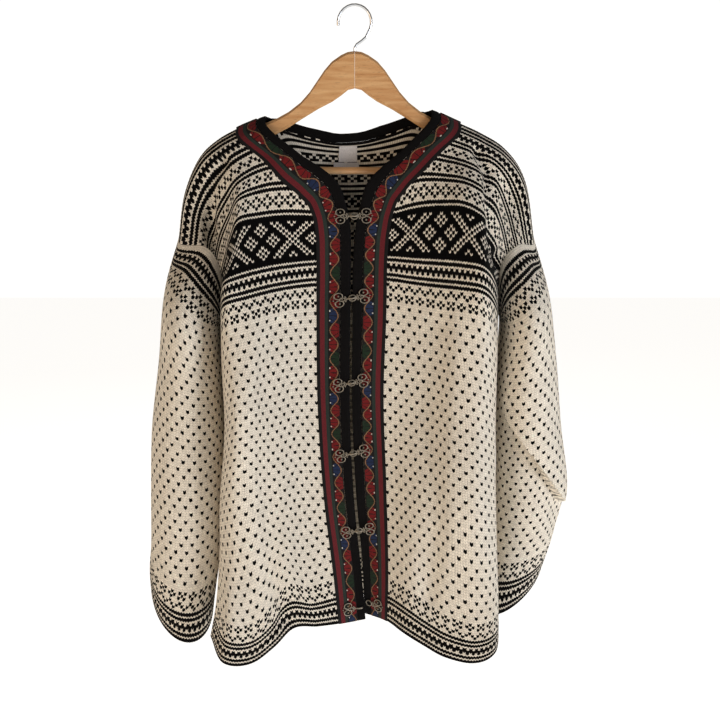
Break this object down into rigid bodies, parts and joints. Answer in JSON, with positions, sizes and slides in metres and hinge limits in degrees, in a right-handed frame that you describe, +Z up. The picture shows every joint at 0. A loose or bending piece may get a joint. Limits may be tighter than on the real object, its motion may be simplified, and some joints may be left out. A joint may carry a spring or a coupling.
{
  "type": "cardigan on a wooden hanger",
  "caption": "Norwegian cardigan in black and natural white stranded knitting with a woven band and pewter clasps, hung on a wooden hanger.",
  "frame": {"origin": "the seat inside the hanger hook's crown, where it rests on a rail", "axes": "+Z up through the hook, +X towards the wearer's left, -Y out of the front"},
  "size_m": [0.6231, 0.1864, 0.9108],
  "materials": {
    "wool": "stranded knitting, natural white with black",
    "woven_band": "woven band in wine red, green and black",
    "black_binding": "plain black wool cloth, folded",
    "label_cloth": "satin label cloth, bare",
    "pewter": "aged pewter",
    "beech": "clear lacquer",
    "hook_wire": "drawn wire"
  },
  "bodies": {
    "root": {"front_right": "wool", "front_left": "wool", "back": "wool", "sleeve_right": "wool", "sleeve_left": "wool", "ribbon_right": "woven_band", "ribbon_left": "woven_band", "ribbon_back": "woven_band", "binding_right": "black_binding", "binding_left": "black_binding", "binding_back": "black_binding", "neck_facing": "black_binding", "neck_label": "label_cloth", "size_tag": "label_cloth", "clasp_1_hook": "pewter", "clasp_1_eye": "pewter", "clasp_2_hook": "pewter", "clasp_2_eye": "pewter", "clasp_3_hook": "pewter", "clasp_3_eye": "pewter", "clasp_4_hook": "pewter", "clasp_4_eye": "pewter", "clasp_5_hook": "pewter", "clasp_5_eye": "pewter", "clasp_6_hook": "pewter", "clasp_6_eye": "pewter", "hanger_arm_right": "beech", "hanger_arm_left": "beech", "hanger_bar": "beech", "hanger_hook": "hook_wire"}
  },
  "joints": []
}
